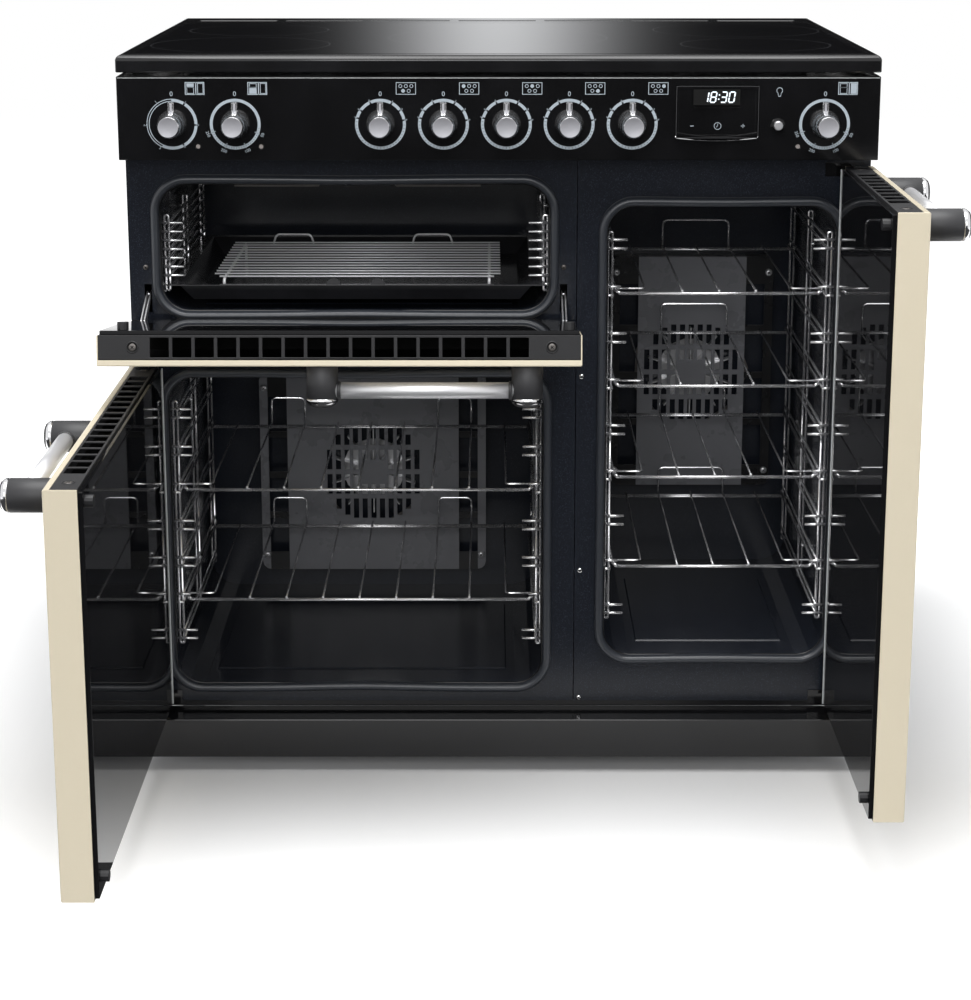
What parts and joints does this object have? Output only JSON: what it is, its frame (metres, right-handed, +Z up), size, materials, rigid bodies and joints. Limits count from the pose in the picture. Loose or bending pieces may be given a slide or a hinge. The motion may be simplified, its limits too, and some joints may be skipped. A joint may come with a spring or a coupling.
{
  "type": "range cooker with double oven",
  "caption": "Freestanding range cooker with flat hob, drop-down grill, wide and tall side-hinged ovens, wire shelves, rotary knobs and vented doors.",
  "frame": {"origin": "middle of the overall footprint on the floor, doors open", "axes": "+Y to the rear, +Z up, +X to the right of someone facing the cooker"},
  "size_m": [1.014, 1.106, 0.9052],
  "materials": {
    "body_black": "gloss",
    "galvanised": "satin",
    "chrome_steel": "polished",
    "black_glass": "gloss",
    "black_plastic": "satin",
    "lens": "gloss",
    "enamel": "gloss enamel",
    "seal_rubber": "satin",
    "aluminium": "bright",
    "chrome_plastic": "chrome plated",
    "cream_enamel": "satin gloss",
    "handle_metal": "matte"
  },
  "bodies": {
    "body": {"side_panels": "body_black", "back_panel": "galvanised", "base_frame": "galvanised", "plinth": "body_black", "levelling_feet": "chrome_steel", "hob_frame": "body_black", "hob_glass": "black_glass", "control_panel": "body_black", "timer_module": "black_plastic", "indicator_lenses": "lens", "control_switches": "black_plastic", "grill_cavity": "enamel", "main_cavity": "enamel", "tall_cavity": "enamel", "grill_seal": "seal_rubber", "main_seal": "seal_rubber", "tall_seal": "seal_rubber", "grill_side_racks": "chrome_steel", "main_side_racks": "chrome_steel", "tall_side_racks": "chrome_steel", "main_fan_cover": "enamel", "tall_fan_cover": "enamel", "fan_motors": "galvanised", "heating_elements": "chrome_steel", "door_hinge_brackets": "body_black", "terminal_cover": "black_plastic"},
    "grill_door": {"grill_door_skin": "cream_enamel", "grill_door_rail": "black_plastic", "grill_door_glass": "black_glass", "grill_door_handle": "handle_metal"},
    "main_door": {"main_door_skin": "cream_enamel", "main_door_rail": "black_plastic", "main_door_glass": "black_glass", "main_door_handle": "handle_metal"},
    "tall_door": {"tall_door_skin": "cream_enamel", "tall_door_rail": "black_plastic", "tall_door_glass": "black_glass", "tall_door_handle": "handle_metal"},
    "grill_stays": {"grill_stay_arms": "chrome_steel"},
    "main_fan": {"main_fan_impeller": "aluminium"},
    "tall_fan": {"tall_fan_impeller": "aluminium"},
    "lamp_button": {"light_button": "chrome_steel"},
    "grill_pan": {"grill_pan": "enamel"},
    "grill_trivet": {"grill_trivet": "chrome_steel"},
    "knob_1": {"knob_1": "chrome_plastic"},
    "knob_2": {"knob_2": "chrome_plastic"},
    "knob_3": {"knob_3": "chrome_plastic"},
    "knob_4": {"knob_4": "chrome_plastic"},
    "knob_5": {"knob_5": "chrome_plastic"},
    "knob_6": {"knob_6": "chrome_plastic"},
    "knob_7": {"knob_7": "chrome_plastic"},
    "knob_8": {"knob_8": "chrome_plastic"},
    "main_shelf_1": {"main_shelf_1": "chrome_steel"},
    "main_shelf_2": {"main_shelf_2": "chrome_steel"},
    "tall_shelf_1": {"tall_shelf_1": "chrome_steel"},
    "tall_shelf_2": {"tall_shelf_2": "chrome_steel"},
    "tall_shelf_3": {"tall_shelf_3": "chrome_steel"},
    "tall_shelf_4": {"tall_shelf_4": "chrome_steel"}
  },
  "joints": [
    {"name": "grill_door_hinge", "type": "hinge", "parent": "body", "child": "grill_door", "pos_m": [-0.1785, -0.0355, 0.557], "axis": [1, 0, 0], "range_deg": [-81.5, 0]},
    {"name": "main_door_hinge", "type": "hinge", "parent": "body", "child": "main_door", "pos_m": [-0.432, -0.027, 0.0815], "axis": [0, 0, -1], "range_deg": [-90, 0]},
    {"name": "tall_door_hinge", "type": "hinge", "parent": "body", "child": "tall_door", "pos_m": [0.432, -0.027, 0.0815], "axis": [0, 0, 1], "range_deg": [-90, 0]},
    {"name": "grill_stay_pivot", "type": "hinge", "parent": "grill_door", "child": "grill_stays", "pos_m": [-0.174, -0.04217, 0.58479], "axis": [1, 0, 0], "range_deg": [0, 128]},
    {"name": "main_fan_spin", "type": "hinge", "parent": "body", "child": "main_fan", "pos_m": [-0.176, 0.403, 0.277], "axis": [0, 1, 0], "continuous": true},
    {"name": "tall_fan_spin", "type": "hinge", "parent": "body", "child": "tall_fan", "pos_m": [0.2725, 0.403, 0.423], "axis": [0, 1, 0], "continuous": true},
    {"name": "lamp_button_press", "type": "slide", "parent": "body", "child": "lamp_button", "axis": [0, 1, 0], "range_m": [0, 0.002], "stiffness_N_per_m": 300},
    {"name": "grill_pan_slide", "type": "slide", "parent": "body", "child": "grill_pan", "axis": [0, -1, 0], "range_m": [0, 0.14]},
    {"name": "trivet_lift", "type": "slide", "parent": "grill_pan", "child": "grill_trivet", "axis": [0, 0, 1], "range_m": [0, 0.03]},
    {"name": "grill_oven_knob_turn", "type": "hinge", "parent": "body", "child": "knob_1", "pos_m": [-0.3851, -0.047, 0.8239], "axis": [0, 1, 0], "range_deg": [0, 270]},
    {"name": "main_oven_knob_turn", "type": "hinge", "parent": "body", "child": "knob_2", "pos_m": [-0.3106, -0.047, 0.8239], "axis": [0, 1, 0], "range_deg": [0, 270]},
    {"name": "hob_knob_1_turn", "type": "hinge", "parent": "body", "child": "knob_3", "pos_m": [-0.1392, -0.047, 0.8239], "axis": [0, 1, 0], "range_deg": [0, 300]},
    {"name": "hob_knob_2_turn", "type": "hinge", "parent": "body", "child": "knob_4", "pos_m": [-0.0649, -0.047, 0.8239], "axis": [0, 1, 0], "range_deg": [0, 300]},
    {"name": "hob_knob_3_turn", "type": "hinge", "parent": "body", "child": "knob_5", "pos_m": [0.0094, -0.047, 0.8239], "axis": [0, 1, 0], "range_deg": [0, 300]},
    {"name": "hob_knob_4_turn", "type": "hinge", "parent": "body", "child": "knob_6", "pos_m": [0.0834, -0.047, 0.8239], "axis": [0, 1, 0], "range_deg": [0, 300]},
    {"name": "hob_knob_5_turn", "type": "hinge", "parent": "body", "child": "knob_7", "pos_m": [0.1578, -0.047, 0.8239], "axis": [0, 1, 0], "range_deg": [0, 300]},
    {"name": "tall_oven_knob_turn", "type": "hinge", "parent": "body", "child": "knob_8", "pos_m": [0.3847, -0.047, 0.8239], "axis": [0, 1, 0], "range_deg": [0, 270]},
    {"name": "main_shelf_1_slide", "type": "slide", "parent": "body", "child": "main_shelf_1", "axis": [0, -1, 0], "range_m": [0, 0.24]},
    {"name": "main_shelf_2_slide", "type": "slide", "parent": "body", "child": "main_shelf_2", "axis": [0, -1, 0], "range_m": [0, 0.24]},
    {"name": "tall_shelf_1_slide", "type": "slide", "parent": "body", "child": "tall_shelf_1", "axis": [0, -1, 0], "range_m": [0, 0.24]},
    {"name": "tall_shelf_2_slide", "type": "slide", "parent": "body", "child": "tall_shelf_2", "axis": [0, -1, 0], "range_m": [0, 0.24]},
    {"name": "tall_shelf_3_slide", "type": "slide", "parent": "body", "child": "tall_shelf_3", "axis": [0, -1, 0], "range_m": [0, 0.24]},
    {"name": "tall_shelf_4_slide", "type": "slide", "parent": "body", "child": "tall_shelf_4", "axis": [0, -1, 0], "range_m": [0, 0.24]}
  ],
  "couplings": [
    {"joint": "grill_stay_pivot", "follows": "grill_door_hinge", "ratio": -1.5644}
  ]
}
